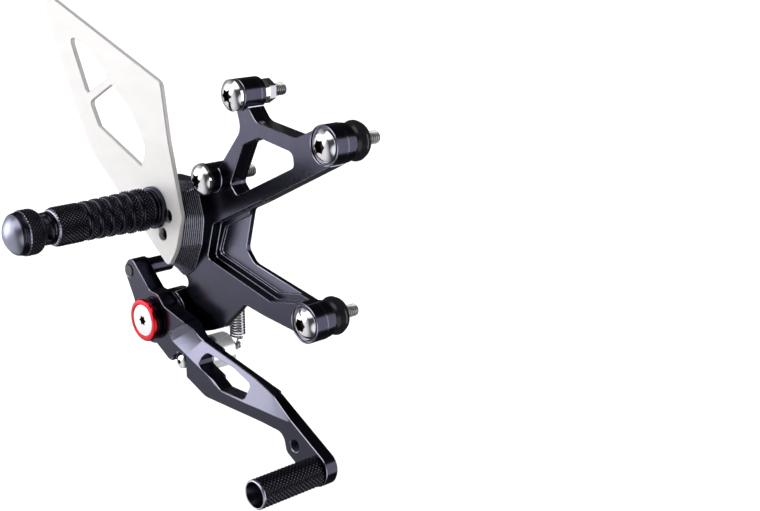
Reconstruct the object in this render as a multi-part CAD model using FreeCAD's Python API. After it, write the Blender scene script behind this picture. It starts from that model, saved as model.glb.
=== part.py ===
import FreeCAD, Part
import math
import os

# Brake-side rear set of a motorcycle: the bracket that bolts to the frame, the rider's foot peg with its
# heel guard, and the brake lever with its toe peg. Millimetres. +X points forwards, +Y inboard (towards
# the motorcycle) and +Z up. The origin is on the upper front bolt's axis in the plane where the spacer
# sleeves meet the frame, so everything but the stud ends lies at y < 0.

# ---- driving dimensions ------------------------------------------------------------------------------
STAND_OFF = 31.0          # frame plane to the bracket's outer face
PLATE = 12.0              # bracket plate thickness
FACE = -STAND_OFF         # bracket's outer face
BACK = FACE + PLATE       # bracket's inner face

STUD_R = 4.0              # M8 frame bolts
STUD_REACH = 10.0         # stud beyond the frame plane
THREAD_R = 3.95           # threaded end of a frame bolt
UNDERCUT = 1.0            # groove between a shank and its thread
HOLE_R = 4.2              # clearance hole for M8
HEAD_R = 9.5
HEAD_RIM = 1.6
HEAD_DOME = 4.0
LOBE_ACROSS = 8.5         # six-lobe drive of the frame bolts
LOBE_DEPTH = 3.6

UPPER_FRONT = (0.0, 0.0)
LOWER_FRONT = (-18.8, -108.6)
TOP_REAR = (-72.1, 20.9)
REAR = (-102.6, -34.0)
PIVOT = (-151.8, -132.9)
PEG = (-142.7, -57.0)
SPARE_PEG_HOLES = [(-135.3, -73.0), (-128.9, -60.3)]
PIN = (-173.9, -105.2)    # brake push-rod pin on the lever's rear arm
LUG = (-124.2, -155.9)    # lug screw and spring bobbin on the lever
TOE = (8.8, -187.7)
SPARE_TOE_HOLE = (-9.2, -177.4)

FRONT_BOSS_R = 12.0
FRONT_RECESS_R = 11.0
FRONT_RECESS = 1.9
TOP_REAR_BOSS_R = 9.5
TOP_REAR_PROUD = 4.0
REAR_BOSS_R = 9.2
REAR_PROUD = 6.0
PIVOT_BOSS_R = 16.0
PIVOT_BOSS_PROUD = 5.0

POCKET_LEDGE = 6.5        # depth of the pocket's first level
POCKET_FLOOR = 8.5
LEDGE_WIDTH = 4.0
LOBE_THICK = 5.0          # bracket thickness at the lobe beside the return spring
PEDESTAL = 13.0           # height of the peg's pedestal above the outer face
TERRACES = 11

GUARD = 3.0               # heel guard thickness
GUARD_BACK = FACE - PEDESTAL
GUARD_FACE = GUARD_BACK - GUARD
DOWEL = (-151.2, -55.0)   # stops the heel guard turning about the peg's bolt
DOWEL_R = 2.0
DOWEL_SUNK = 6.0

PEG_THREAD = 22.0         # thread depths in the pedestal
SPARE_THREAD = 18.0
SLEEVE_START = 8.0        # distances along the peg, outboard from the heel guard
SLEEVE_END = 75.0
FIRST_GROOVE = 16.5
KNOB_END = 99.0
CAP_END = 104.5
GROOVES = 6
GROOVE_PITCH = 7.37
GROOVE_WIDTH = 3.4
GROOVE_DEPTH = 1.4
GRIP_RADII = [13.0, 13.0, 12.6, 12.4, 12.2, 12.0, 11.9]
KNOB_R = 13.9
CORE_R = 6.5
PEG_HEAD_R = 6.4
CAP_PLUG_R = 8.0
CAP_R = 11.7

RING = 2.8                # thin ring behind each front boss
RING_R = 11.5
SLEEVE_R = 5.5            # spacer sleeves between the bracket and the frame
WASHER = 1.6
REAR_SPACER = 4.5
NUT = 5.0

LEVER_FRONT = FACE - 17.0
LEVER_BACK = FACE - 5.5
ARM_BACK = FACE - 7.0
TOE_BACK = FACE - 8.5
LEVER_BEVEL = 5.5         # how far the milled face falls away at its upper edge
HUB_R = 16.5
TOE_PEG_R = 9.0
TOE_PEG_LENGTH = 45.0
TOE_PEG_BORE = 7.7
TOE_PEG_BORE_DEPTH = 35.0
TOE_SCREW_R = 4.0
PIN_R = 3.0
PIN_THREAD_R = 2.95       # threaded end of the push-rod pin
PIN_HEAD_R = 3.9
PUSHROD_SPACER_R = 6.0
PUSHROD_SPACER_END = FACE + 15.0
PUSHROD_STUD_END = FACE + 26.4

AXLE_R = 8.0              # pivot axle in the bracket
JOURNAL_R = 5.0           # carries the two ball bearings
SHOULDER_R = 6.3
PIVOT_SCREW_R = 3.0
BEARING_R = 9.5
BEARING = 5.0
BEARING_BALLS = 9
BALL_R = 1.55
BALL_CIRCLE_R = 7.25
RACE_LIP = 1.1            # each race's radial thickness at its edge
OUTER_START = LEVER_FRONT + 0.1
INNER_START = LEVER_BACK - 0.1 - BEARING
COLLAR_GAP = 0.3
COLLAR_FACE = LEVER_FRONT - 3.1
RING_FACE = FACE - 23.5

LUG_SCREW_R = 2.5
LUG_SET = 4.0             # lug and its screw behind the lever's front face
BOBBIN_R = 11.4
BOBBIN_END = FACE + 22.6
SPRING_PIN = (-115.9, -152.4)
SPRING_PIN_R = 1.5
SPRING_PIN_REACH = 4.4    # pin beyond the bobbin
WIRE_R = 0.65
COIL_R = 4.6
COIL_PITCH = 1.75
COIL_TURNS = 13
COIL_TOP = -122.0
SPRING_X = -113.8
SPRING_Y = BOBBIN_END + 1.8
POST = (-113.8, -113.5)   # holds the spring's upper hook
POST_R = 2.0
POST_SUNK = 8.0


# ---- helpers -----------------------------------------------------------------------------------------
def at(x, y, z):
    return FreeCAD.Vector(x, y, z)


INBOARD = at(0, 1, 0)


def rod(radius, y0, y1, place):
    """A solid cylinder along Y from y0 to y1 at place (x, z)."""
    return Part.makeCylinder(radius, y1 - y0, at(place[0], y0, place[1]), INBOARD)


def tube(outer, inner, y0, y1, place):
    return rod(outer, y0, y1, place).cut(rod(inner, y0 - 1, y1 + 1, place))


def rounded_wire(corners, to_point):
    """A closed wire through corners (a, b, radius), each rounded by a tangent arc of its radius."""
    starts = []
    ends = []
    middles = []
    count = len(corners)
    for index, (a, b, radius) in enumerate(corners):
        corner = FreeCAD.Vector(a, b, 0)
        before = corners[index - 1]
        after = corners[(index + 1) % count]
        towards_before = (FreeCAD.Vector(before[0], before[1], 0) - corner).normalize()
        towards_after = (FreeCAD.Vector(after[0], after[1], 0) - corner).normalize()
        if radius <= 0:
            starts.append(corner)
            ends.append(corner)
            middles.append(None)
            continue
        half = towards_before.getAngle(towards_after) / 2
        trim = radius / math.tan(half)
        bisector = (towards_before + towards_after).normalize()
        starts.append(corner + towards_before * trim)
        ends.append(corner + towards_after * trim)
        middles.append(corner + bisector * (radius / math.sin(half) - radius))

    def place(point):
        return to_point(point.x, point.y)

    edges = []
    for index in range(count):
        if middles[index] is not None:
            arc = Part.Arc(place(starts[index]), place(middles[index]), place(ends[index]))
            edges.append(arc.toShape())
        here = place(ends[index])
        there = place(starts[(index + 1) % count])
        if here.distanceToPoint(there) > 1e-6:
            edges.append(Part.LineSegment(here, there).toShape())
    return Part.Wire(edges)


def plate(corners, y0, y1):
    """A plate with a rounded outline (x, z, radius), from y0 to y1."""
    wire = rounded_wire(corners, lambda a, b: at(a, y0, b))
    return Part.Face(wire).extrude(at(0, y1 - y0, 0))


def turned(profile, place):
    """A solid of revolution about a Y axis at place, from (radius, y, corner radius) points."""
    wire = rounded_wire(profile, lambda a, b: at(place[0] + a, b, place[1]))
    return Part.Face(wire).revolve(at(place[0], 0, place[1]), INBOARD, 360)


def dome(radius, height, y_base, place):
    """A shallow dome that bulges outboard (towards -Y) from y_base."""
    ball = (radius ** 2 + height ** 2) / (2 * height)
    sphere = Part.makeSphere(ball, at(place[0], y_base - height + ball, place[1]))
    return sphere.common(rod(radius, y_base - height - 1, y_base, place))


def six_lobe(across, y0, y1, place):
    """A six-lobe drive recess: rounded lobes joined by hollow flanks."""
    tip = across / 2
    valley = 0.355 * across
    joint = 0.43 * across
    spread = math.radians(12)
    edges = []

    def polar(radius, angle):
        return at(place[0] + radius * math.cos(angle), y0, place[1] + radius * math.sin(angle))

    for lobe in range(6):
        middle = math.radians(60 * lobe)
        following = middle + math.radians(60)
        edges.append(Part.Arc(polar(joint, middle - spread), polar(tip, middle),
                              polar(joint, middle + spread)).toShape())
        edges.append(Part.Arc(polar(joint, middle + spread), polar(valley, middle + math.radians(30)),
                              polar(joint, following - spread)).toShape())
    return Part.Face(Part.Wire(edges)).extrude(at(0, y1 - y0, 0))


def hexagon(flats, y0, y1, place):
    """A hexagonal prism with a corner at the top."""
    corner = flats / math.sqrt(3)
    points = []
    for index in range(7):
        angle = math.radians(60 * index + 30)
        points.append(at(place[0] + corner * math.cos(angle), y0, place[1] + corner * math.sin(angle)))
    return Part.Face(Part.makePolygon(points)).extrude(at(0, y1 - y0, 0))


def save(name, *solids):
    shape = solids[0] if len(solids) == 1 else Part.makeCompound(list(solids))
    shape.exportStep("parts/" + name + ".step")


# ---- bracket -----------------------------------------------------------------------------------------
def bracket_outline():
    """The plate's outer edge, anticlockwise seen from outboard, starting at the upper front boss."""
    return [
        (-8.0, 8.0, 0), (-24.0, 1.2, 8), (-59.0, 5.6, 9), (-66.0, 14.0, 0), (-78.0, 14.0, 0),
        (-73.4, -0.5, 10), (-97.0, -28.0, 0), (-112.0, -38.0, 4), (-132.0, -41.0, 6),
        (-156.0, -41.0, 8), (-167.0, -58.0, 8), (-163.0, -84.0, 8), (-136.0, -103.5, 8),
        (-128.5, -108.5, 4), (-148.0, -117.6, 0), (-160.0, -128.0, 0), (-150.0, -147.5, 0),
        (-107.5, -134.2, 10), (-97.5, -130.2, 5), (-74.6, -109.4, 3), (-56.0, -112.4, 20),
        (-22.0, -116.0, 0), (-11.0, -103.0, 0), (-16.8, -96.6, 0), (-75.0, -84.9, 9),
        (-82.3, -77.0, 5), (-75.1, -50.6, 5), (-60.0, -43.6, 0), (5.2, -11.0, 0),
    ]


def pocket_outline(inset):
    """The pocket's edge, open towards the front. inset narrows it evenly on its three walls."""
    slide = inset * 1.05
    return [
        (-56.0, -40.4 - slide, 0), (-103.6 + inset, -63.6 - 0.5 * slide, 4),
        (-110.9 + inset, -87.2 + 0.8 * slide, 3), (-50.0, -101.9 + slide, 6),
        (-26.0, -97.6 + slide, 3), (-4.0, -87.0 + slide, 0), (0.0, -60.0, 0),
    ]


def window_outline():
    return [
        (-71.5, -8.8, 4), (-57.0, -3.0, 4), (-26.6, -7.6, 5), (-25.6, -16.2, 4),
        (-79.0, -41.6, 3), (-85.2, -35.4, 3),
    ]


def pedestal_outline(share):
    """The pedestal's edge at a share of its height: 0 at the bracket's face, 1 at the pad."""
    foot = [
        (-118.5, -42.0), (-112.6, -62.3), (-115.6, -79.0), (-124.5, -98.5), (-134.5, -105.0),
        (-150.0, -98.0), (-166.0, -80.0), (-167.0, -57.0), (-156.0, -41.0), (-127.5, -40.0),
    ]
    pad = [
        (-123.0, -45.5), (-117.4, -61.0), (-122.4, -79.5), (-128.0, -91.5), (-134.5, -92.2),
        (-146.0, -84.5), (-159.0, -76.0), (-160.5, -57.0), (-153.0, -45.5), (-130.0, -45.5),
    ]
    radii = [3, 12, 12, 6, 6, 8, 8, 8, 8, 4]
    corners = []
    for low, high, radius in zip(foot, pad, radii):
        x = low[0] + share * (high[0] - low[0])
        z = low[1] + share * (high[1] - low[1])
        corners.append((x, z, radius))
    return corners


def pedestal():
    """The raised pad for the peg, whose wall is milled in fine level steps."""
    step = PEDESTAL / TERRACES
    layers = []
    for index in range(TERRACES):
        share = ((index + 0.5) / TERRACES) ** 0.8
        layers.append(plate(pedestal_outline(share), FACE - (index + 1) * step, FACE + 0.5))
    return layers[0].multiFuse(layers[1:])


def pocket():
    """Two levels, open at the front, where the plate thins to a web between the front arms."""
    ledge = plate(pocket_outline(0), FACE - 1, FACE + POCKET_LEDGE)
    floor = plate(pocket_outline(LEDGE_WIDTH), FACE - 1, FACE + POCKET_FLOOR)
    keep = rod(FRONT_BOSS_R, FACE - 2, BACK, LOWER_FRONT)
    return ledge.fuse(floor).cut(keep)


def spring_relief():
    """The lobe above the spring is thinned from behind."""
    corners = [(-103.0, -145.0, 0), (-103.0, -118.0, 4), (-88.0, -106.0, 4), (-60.0, -106.0, 0),
               (-60.0, -145.0, 0)]
    return plate(corners, FACE + LOBE_THICK, BACK + 1)


def make_bracket():
    body = plate(bracket_outline(), FACE, BACK)
    bosses = [
        rod(FRONT_BOSS_R, FACE, BACK, UPPER_FRONT),
        rod(FRONT_BOSS_R, FACE, BACK, LOWER_FRONT),
        rod(TOP_REAR_BOSS_R, FACE - TOP_REAR_PROUD, BACK, TOP_REAR),
        rod(REAR_BOSS_R, FACE - REAR_PROUD, BACK, REAR),
        turned([(0, BACK, 0), (PIVOT_BOSS_R, BACK, 0), (PIVOT_BOSS_R, FACE - 2, 0),
                (PIVOT_BOSS_R - 3, FACE - PIVOT_BOSS_PROUD, 0), (0, FACE - PIVOT_BOSS_PROUD, 0)], PIVOT),
        pedestal(),
    ]
    body = body.multiFuse(bosses).cut(pocket())
    cuts = [plate(window_outline(), FACE - 1, BACK + 1), spring_relief()]
    for place in (UPPER_FRONT, LOWER_FRONT):
        cuts.append(rod(HOLE_R, FACE - 1, BACK + 1, place))
        cuts.append(rod(FRONT_RECESS_R, FACE - 1, FACE + FRONT_RECESS, place))
    for place in (TOP_REAR, REAR):
        cuts.append(rod(HOLE_R, FACE - 10, BACK + 1, place))
    cuts.append(rod(AXLE_R, FACE - 10, BACK + 1, PIVOT))
    cuts.append(rod(STUD_R, GUARD_BACK - 1, GUARD_BACK + PEG_THREAD, PEG))
    for place in SPARE_PEG_HOLES:
        cuts.append(rod(STUD_R, GUARD_BACK - 1, GUARD_BACK + SPARE_THREAD, place))
    cuts.append(rod(DOWEL_R, GUARD_BACK - 1, GUARD_BACK + DOWEL_SUNK, DOWEL))
    cuts.append(rod(POST_R, BACK - POST_SUNK, BACK + 1, POST))
    body = body.cut(cuts[0].multiFuse(cuts[1:]))
    save("bracket", body.removeSplitter())


# ---- heel guard --------------------------------------------------------------------------------------
def guard_outline():
    return [
        (-259.5, 70.0, 7), (-131.0, 23.3, 6), (-125.5, -12.0, 60), (-114.0, -58.6, 14),
        (-121.5, -82.0, 30), (-130.6, -94.2, 4.5), (-214.8, -29.5, 60), (-259.6, 54.5, 8),
    ]


def upper_window():
    return [
        (-232.6, 43.6, 3), (-208.5, 37.5, 22), (-188.0, 19.8, 3.2), (-214.4, 7.2, 2.5),
    ]


def lower_window():
    return [
        (-211.0, 2.0, 3), (-184.5, 16.2, 3), (-160.5, -2.5, 26), (-149.6, -20.0, 12),
        (-155.4, -32.6, 1), (-202.4, -13.0, 1.5),
    ]


def make_heel_guard():
    body = plate(guard_outline(), GUARD_FACE, GUARD_BACK)
    cuts = [
        plate(upper_window(), GUARD_FACE - 1, GUARD_BACK + 1),
        plate(lower_window(), GUARD_FACE - 1, GUARD_BACK + 1),
        rod(HOLE_R, GUARD_FACE - 1, GUARD_BACK + 1, PEG),
        rod(DOWEL_R, GUARD_FACE - 1, GUARD_BACK + 1, DOWEL),
    ]
    for place in SPARE_PEG_HOLES:
        cuts.append(rod(HOLE_R, GUARD_FACE - 1, GUARD_BACK + 1, place))
    save("heel_guard", body.cut(cuts[0].multiFuse(cuts[1:])))
    save("guard_dowel", rod(DOWEL_R, GUARD_FACE, GUARD_BACK + DOWEL_SUNK, DOWEL))


# ---- foot peg ----------------------------------------------------------------------------------------
def peg_y(distance):
    """The row Y at a distance along the peg, outboard from the heel guard."""
    return GUARD_FACE - distance


def sleeve_profile():
    """The grooved grip, fattest next to the heel guard."""
    profile = [(CORE_R, peg_y(SLEEVE_START), 0), (GRIP_RADII[0], peg_y(SLEEVE_START), 0.5)]
    for index in range(GROOVES):
        middle = FIRST_GROOVE + index * GROOVE_PITCH
        start = middle - GROOVE_WIDTH / 2
        end = middle + GROOVE_WIDTH / 2
        floor_r = GRIP_RADII[index + 1] - GROOVE_DEPTH
        profile += [(GRIP_RADII[index], peg_y(start), 0), (floor_r, peg_y(start + 0.9), 0.8),
                    (floor_r, peg_y(end - 0.9), 0.8), (GRIP_RADII[index + 1], peg_y(end), 0)]
    profile += [(GRIP_RADII[-1], peg_y(SLEEVE_END - 4), 0), (GRIP_RADII[-1] - 0.8, peg_y(SLEEVE_END - 2), 0),
                (10.3, peg_y(SLEEVE_END), 0), (CORE_R, peg_y(SLEEVE_END), 0)]
    return profile


def make_peg():
    base = turned([
        (HOLE_R, peg_y(0), 0), (13.5, peg_y(0), 0.4), (13.5, peg_y(3.2), 0.8), (12.0, peg_y(3.4), 0),
        (12.0, peg_y(4.6), 0.6), (10.2, peg_y(4.8), 0), (10.2, peg_y(SLEEVE_START), 0),
        (CORE_R, peg_y(SLEEVE_START), 0), (CORE_R, peg_y(SLEEVE_END), 0), (HOLE_R, peg_y(SLEEVE_END), 0),
    ], PEG)
    save("peg_base", base)
    save("peg_sleeve", turned(sleeve_profile(), PEG))

    knob = turned([
        (PEG_HEAD_R, peg_y(SLEEVE_END), 0), (9.9, peg_y(SLEEVE_END), 0.3), (9.9, peg_y(78.2), 0.3),
        (9.4, peg_y(78.4), 0), (9.4, peg_y(78.8), 0), (9.9, peg_y(79.0), 0.3), (9.6, peg_y(82.0), 0.5),
        (13.0, peg_y(85.4), 2.0), (KNOB_R, peg_y(88.5), 4.0), (KNOB_R, peg_y(94.2), 0.6),
        (12.9, peg_y(96.2), 0.3), (12.9, peg_y(96.8), 0.2), (12.1, peg_y(KNOB_END), 0.3),
        (CAP_PLUG_R, peg_y(KNOB_END), 0), (CAP_PLUG_R, peg_y(91.0), 0), (PEG_HEAD_R, peg_y(91.0), 0),
    ], PEG)
    save("peg_knob", knob)

    plug = rod(CAP_PLUG_R, peg_y(KNOB_END), peg_y(92.0), PEG)
    cap = dome(CAP_R, CAP_END - KNOB_END, peg_y(KNOB_END), PEG).fuse(plug)
    save("peg_end_cap", cap.removeSplitter())

    bolt = rod(STUD_R, peg_y(SLEEVE_END), GUARD_BACK + PEG_THREAD - 1, PEG)
    head = rod(PEG_HEAD_R, peg_y(SLEEVE_END + 8), peg_y(SLEEVE_END), PEG)
    drive = hexagon(6.0, peg_y(SLEEVE_END + 9), peg_y(SLEEVE_END + 4), PEG)
    save("peg_bolt", bolt.fuse(head).cut(drive).removeSplitter())


# ---- frame bolts and their hardware ------------------------------------------------------------------
def stud(radius, thread_r, y0, y_thread, y_end, place):
    """A plain shank, an undercut and a threaded end (as a plain cylinder) with a chamfered tip."""
    shank = rod(radius, y0, y_thread - UNDERCUT, place)
    neck = rod(0.82 * thread_r, y_thread - UNDERCUT, y_thread, place)
    thread = rod(thread_r, y_thread, y_end, place)
    tip = Part.makeCone(thread_r, 0.8 * thread_r, 0.2 * thread_r, at(place[0], y_end, place[1]), INBOARD)
    return shank.multiFuse([neck, thread, tip])


def frame_bolt(place, y_seat, y_thread, y_end):
    """A dome-head bolt: head resting at y_seat, threaded from y_thread to y_end."""
    rim = rod(HEAD_R, y_seat - HEAD_RIM, y_seat, place)
    crown = dome(HEAD_R, HEAD_DOME, y_seat - HEAD_RIM, place)
    shank = stud(STUD_R, THREAD_R, y_seat, y_thread, y_end, place)
    top = y_seat - HEAD_RIM - HEAD_DOME
    drive = six_lobe(LOBE_ACROSS, top - 1, top + LOBE_DEPTH, place)
    return rim.multiFuse([crown, shank]).cut(drive).removeSplitter()


def bulged_spacer(place):
    start = BACK + RING
    return turned([
        (SLEEVE_R, start, 0), (9.6, start, 0.4), (9.2, start + 2.8, 1.2), (10.6, start + 4.6, 1.2),
        (12.2, start + 8.6, 3.0), (10.2, start + 12.6, 2.0), (7.2, start + 13.6, 0),
        (SLEEVE_R, start + 13.6, 0),
    ], place)


def make_frame_hardware():
    fronts = (UPPER_FRONT, LOWER_FRONT)
    save("front_frame_bolts",
         *[frame_bolt(place, FACE + FRONT_RECESS, 0, STUD_REACH - 0.2 * THREAD_R) for place in fronts])
    save("boss_rings", *[tube(RING_R, HOLE_R, BACK, BACK + RING, place) for place in fronts])
    save("bulged_spacers", *[bulged_spacer(place) for place in fronts])
    save("spacer_sleeves", *[tube(SLEEVE_R, HOLE_R, BACK + RING, 0, place) for place in fronts])

    top_seat = FACE - TOP_REAR_PROUD - WASHER
    rear_seat = FACE - REAR_PROUD - WASHER
    save("head_washers",
         tube(HEAD_R - 0.2, HOLE_R, top_seat, FACE - TOP_REAR_PROUD, TOP_REAR),
         tube(HEAD_R + 0.4, HOLE_R, rear_seat, FACE - REAR_PROUD, REAR))
    save("top_rear_bolt", frame_bolt(TOP_REAR, top_seat, BACK + REAR_SPACER + NUT, 0.6))
    save("rear_bolt", frame_bolt(REAR, rear_seat, BACK, 0.0))
    save("top_rear_spacer", tube(7.4, HOLE_R, BACK, BACK + REAR_SPACER, TOP_REAR))
    nut_start = BACK + REAR_SPACER
    nut = hexagon(13.0, nut_start, nut_start + NUT, TOP_REAR).cut(rod(STUD_R, BACK, 0, TOP_REAR))
    save("top_rear_nut", nut)


# ---- lever pivot -------------------------------------------------------------------------------------
def bearing(y0):
    """Inner race, outer race and balls of one 10 x 19 x 5 ball bearing starting at y0."""
    middle = y0 + BEARING / 2
    groove = Part.makeTorus(BALL_CIRCLE_R, BALL_R + 0.05, at(PIVOT[0], middle, PIVOT[1]), INBOARD)
    inner = tube(JOURNAL_R + RACE_LIP, JOURNAL_R, y0, y0 + BEARING, PIVOT).cut(groove)
    outer = tube(BEARING_R, BEARING_R - RACE_LIP, y0, y0 + BEARING, PIVOT).cut(groove)
    balls = []
    for index in range(BEARING_BALLS):
        angle = math.radians(360 * index / BEARING_BALLS)
        x = PIVOT[0] + BALL_CIRCLE_R * math.cos(angle)
        z = PIVOT[1] + BALL_CIRCLE_R * math.sin(angle)
        balls.append(Part.makeSphere(BALL_R, at(x, middle, z)))
    return inner, outer, balls


def make_pivot():
    inners = []
    outers = []
    balls = []
    for start in (OUTER_START, INNER_START):
        inner, outer, rolling = bearing(start)
        inners.append(inner)
        outers.append(outer)
        balls += rolling
    save("bearing_inner_races", *inners)
    save("bearing_outer_races", *outers)
    save("bearing_balls", *balls)
    spacer = tube(SHOULDER_R, JOURNAL_R, OUTER_START + BEARING, INNER_START, PIVOT)
    save("race_spacer", spacer)

    inner_end = INNER_START + BEARING
    axle = turned([
        (0, OUTER_START + 0.2, 0), (JOURNAL_R, OUTER_START + 0.2, 0.3), (JOURNAL_R, inner_end, 0),
        (SHOULDER_R, inner_end, 0), (SHOULDER_R, FACE - PIVOT_BOSS_PROUD, 0),
        (AXLE_R, FACE - PIVOT_BOSS_PROUD, 0), (AXLE_R, BACK, 0), (11.0, BACK, 0),
        (11.0, BACK + 2.5, 0.6), (0, BACK + 2.5, 0),
    ], PIVOT)
    thread = rod(PIVOT_SCREW_R, OUTER_START - 1, OUTER_START + 16, PIVOT)
    save("pivot_axle", axle.cut(thread))

    collar = turned([
        (PIVOT_SCREW_R, OUTER_START, 0), (SHOULDER_R, OUTER_START, 0),
        (SHOULDER_R, LEVER_FRONT - COLLAR_GAP, 0), (13.6, LEVER_FRONT - COLLAR_GAP, 0.4),
        (13.6, COLLAR_FACE, 0.4), (PIVOT_SCREW_R, COLLAR_FACE, 0),
    ], PIVOT)
    save("hub_collar", collar)
    seat = RING_FACE + 2.2
    ring = turned([
        (PIVOT_SCREW_R, COLLAR_FACE, 0), (14.2, COLLAR_FACE, 0.9), (14.2, RING_FACE, 2.0),
        (10.7, RING_FACE, 0.3), (10.7, seat, 0), (PIVOT_SCREW_R, seat, 0),
    ], PIVOT)
    save("pivot_ring", ring)
    disc = turned([(0, RING_FACE + 0.2, 0), (10.5, RING_FACE + 0.2, 0.6), (10.5, seat, 0), (0, seat, 0)],
                  PIVOT)
    shank = rod(PIVOT_SCREW_R, seat, OUTER_START + 15, PIVOT)
    drive = six_lobe(6.9, RING_FACE - 1, seat + 1.2, PIVOT)
    save("pivot_screw", disc.fuse(shank).cut(drive).removeSplitter())


# ---- brake lever -------------------------------------------------------------------------------------
def lever_outline():
    """The lever's edge: rear arm, hub, main arm, toe end and the notch at the lug, clockwise."""
    return [
        (-180.5, -104.5, 5.5), (-172.0, -94.5, 5.5), (-151.5, -114.0, 5), (-143.0, -114.6, 6),
        (-136.5, -121.4, 6), (-115.0, -127.0, 8), (-104.5, -136.7, 12), (-29.6, -152.7, 12),
        (21.8, -182.0, 9.5), (13.4, -201.2, 9.5), (-16.8, -183.6, 5), (-19.6, -172.8, 7),
        (-40.0, -171.7, 20), (-95.5, -171.3, 14), (-114.8, -163.4, 1.5), (-114.8, -149.4, 1.0),
        (-123.5, -148.2, 1.5), (-130.2, -156.4, 0.8), (-133.9, -155.8, 0.6), (-147.0, -148.2, 8),
        (-168.0, -139.0, 16), (-169.6, -124.0, 12),
    ]


def slot_outline():
    return [
        (-97.0, -143.2, 4.5), (-72.5, -146.8, 10), (-53.8, -152.6, 3), (-56.5, -162.6, 3.5),
        (-79.5, -162.5, 3), (-87.5, -157.9, 4), (-104.5, -151.5, 4),
    ]


def bevel_cut():
    """The milled face: a wide facet that falls away from the lower edge towards the upper edge."""
    stations = [
        ((-132.6, -137.5), (-114.6, -127.2), 0.05), ((-128.5, -142.6), (-110.5, -131.0), 3.8),
        ((-113.9, -148.1), (-103.0, -137.1), LEVER_BEVEL), ((-93.4, -155.5), (-81.0, -141.8), LEVER_BEVEL),
        ((-85.5, -160.3), (-76.5, -142.8), LEVER_BEVEL), ((-78.5, -163.2), (-70.0, -144.2), LEVER_BEVEL),
        ((-57.0, -163.9), (-51.0, -148.2), 5.0), ((-40.6, -163.8), (-37.2, -151.1), 3.2),
        ((-26.6, -164.0), (-28.5, -153.0), 1.6), ((-14.0, -164.2), (-13.2, -162.0), 0.05),
    ]
    beyond = 1.06
    wires = []
    for low, edge, drop in stations:
        high = [a + (b - a) * beyond for a, b in zip(low, edge)]
        corners = [at(low[0], LEVER_FRONT, low[1]), at(high[0], LEVER_FRONT + drop * beyond, high[1]),
                   at(high[0], LEVER_FRONT - 1, high[1]), at(low[0], LEVER_FRONT - 1, low[1])]
        wires.append(Part.makePolygon(corners + corners[:1]))
    return [Part.makeLoft([one, two], True, True) for one, two in zip(wires, wires[1:])]


def make_lever():
    body = plate(lever_outline(), LEVER_FRONT, LEVER_BACK)
    hub = rod(HUB_R, LEVER_FRONT, LEVER_BACK, PIVOT)
    lug = rod(5.0, LEVER_FRONT + LUG_SET, LEVER_BACK, LUG)
    web = plate([(-129.0, -156.5, 0), (-129.0, -146.0, 0), (-112.0, -146.0, 0), (-112.0, -156.5, 0)],
                LEVER_FRONT + LUG_SET, LEVER_BACK)
    arm_relief = plate([(-88.0, -130.0, 0), (-88.0, -175.0, 0), (40.0, -175.0, 0), (40.0, -130.0, 0)],
                       ARM_BACK, LEVER_BACK + 1)
    toe_relief = plate([(-32.0, -130.0, 0), (-32.0, -210.0, 0), (40.0, -210.0, 0), (40.0, -130.0, 0)],
                       TOE_BACK, LEVER_BACK + 1)
    body = body.multiFuse([hub, lug, web]).cut(arm_relief.fuse(toe_relief))
    for wedge in bevel_cut():
        body = body.cut(wedge)
    middle = (OUTER_START + BEARING + INNER_START) / 2
    cuts = [
        plate(slot_outline(), LEVER_FRONT - 1, LEVER_BACK + 1),
        rod(BEARING_R, LEVER_FRONT - 1, OUTER_START + BEARING, PIVOT),
        rod(BEARING_R, INNER_START, LEVER_BACK + 1, PIVOT),
        rod(BEARING_R - 1.2, middle - 3, middle + 3, PIVOT),
        rod(PIN_R, LEVER_FRONT - 1, LEVER_BACK + 1, PIN),
        rod(PIN_HEAD_R + 0.7, LEVER_FRONT - 1, LEVER_FRONT + 1.2, PIN),
        rod(5.7, LEVER_FRONT - 1, LEVER_FRONT + LUG_SET, LUG),
        rod(LUG_SCREW_R, LEVER_FRONT, LEVER_BACK + 1, LUG),
        rod(TOE_SCREW_R, LEVER_FRONT - 1, TOE_BACK + 1, TOE),
        Part.makeCone(TOE_SCREW_R, TOE_SCREW_R + 3.4, 3.4, at(TOE[0], TOE_BACK - 3.4, TOE[1]), INBOARD),
        rod(STUD_R, LEVER_FRONT - 1, TOE_BACK + 1, SPARE_TOE_HOLE),
    ]
    save("brake_lever", body.cut(cuts[0].multiFuse(cuts[1:])).removeSplitter())


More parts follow.
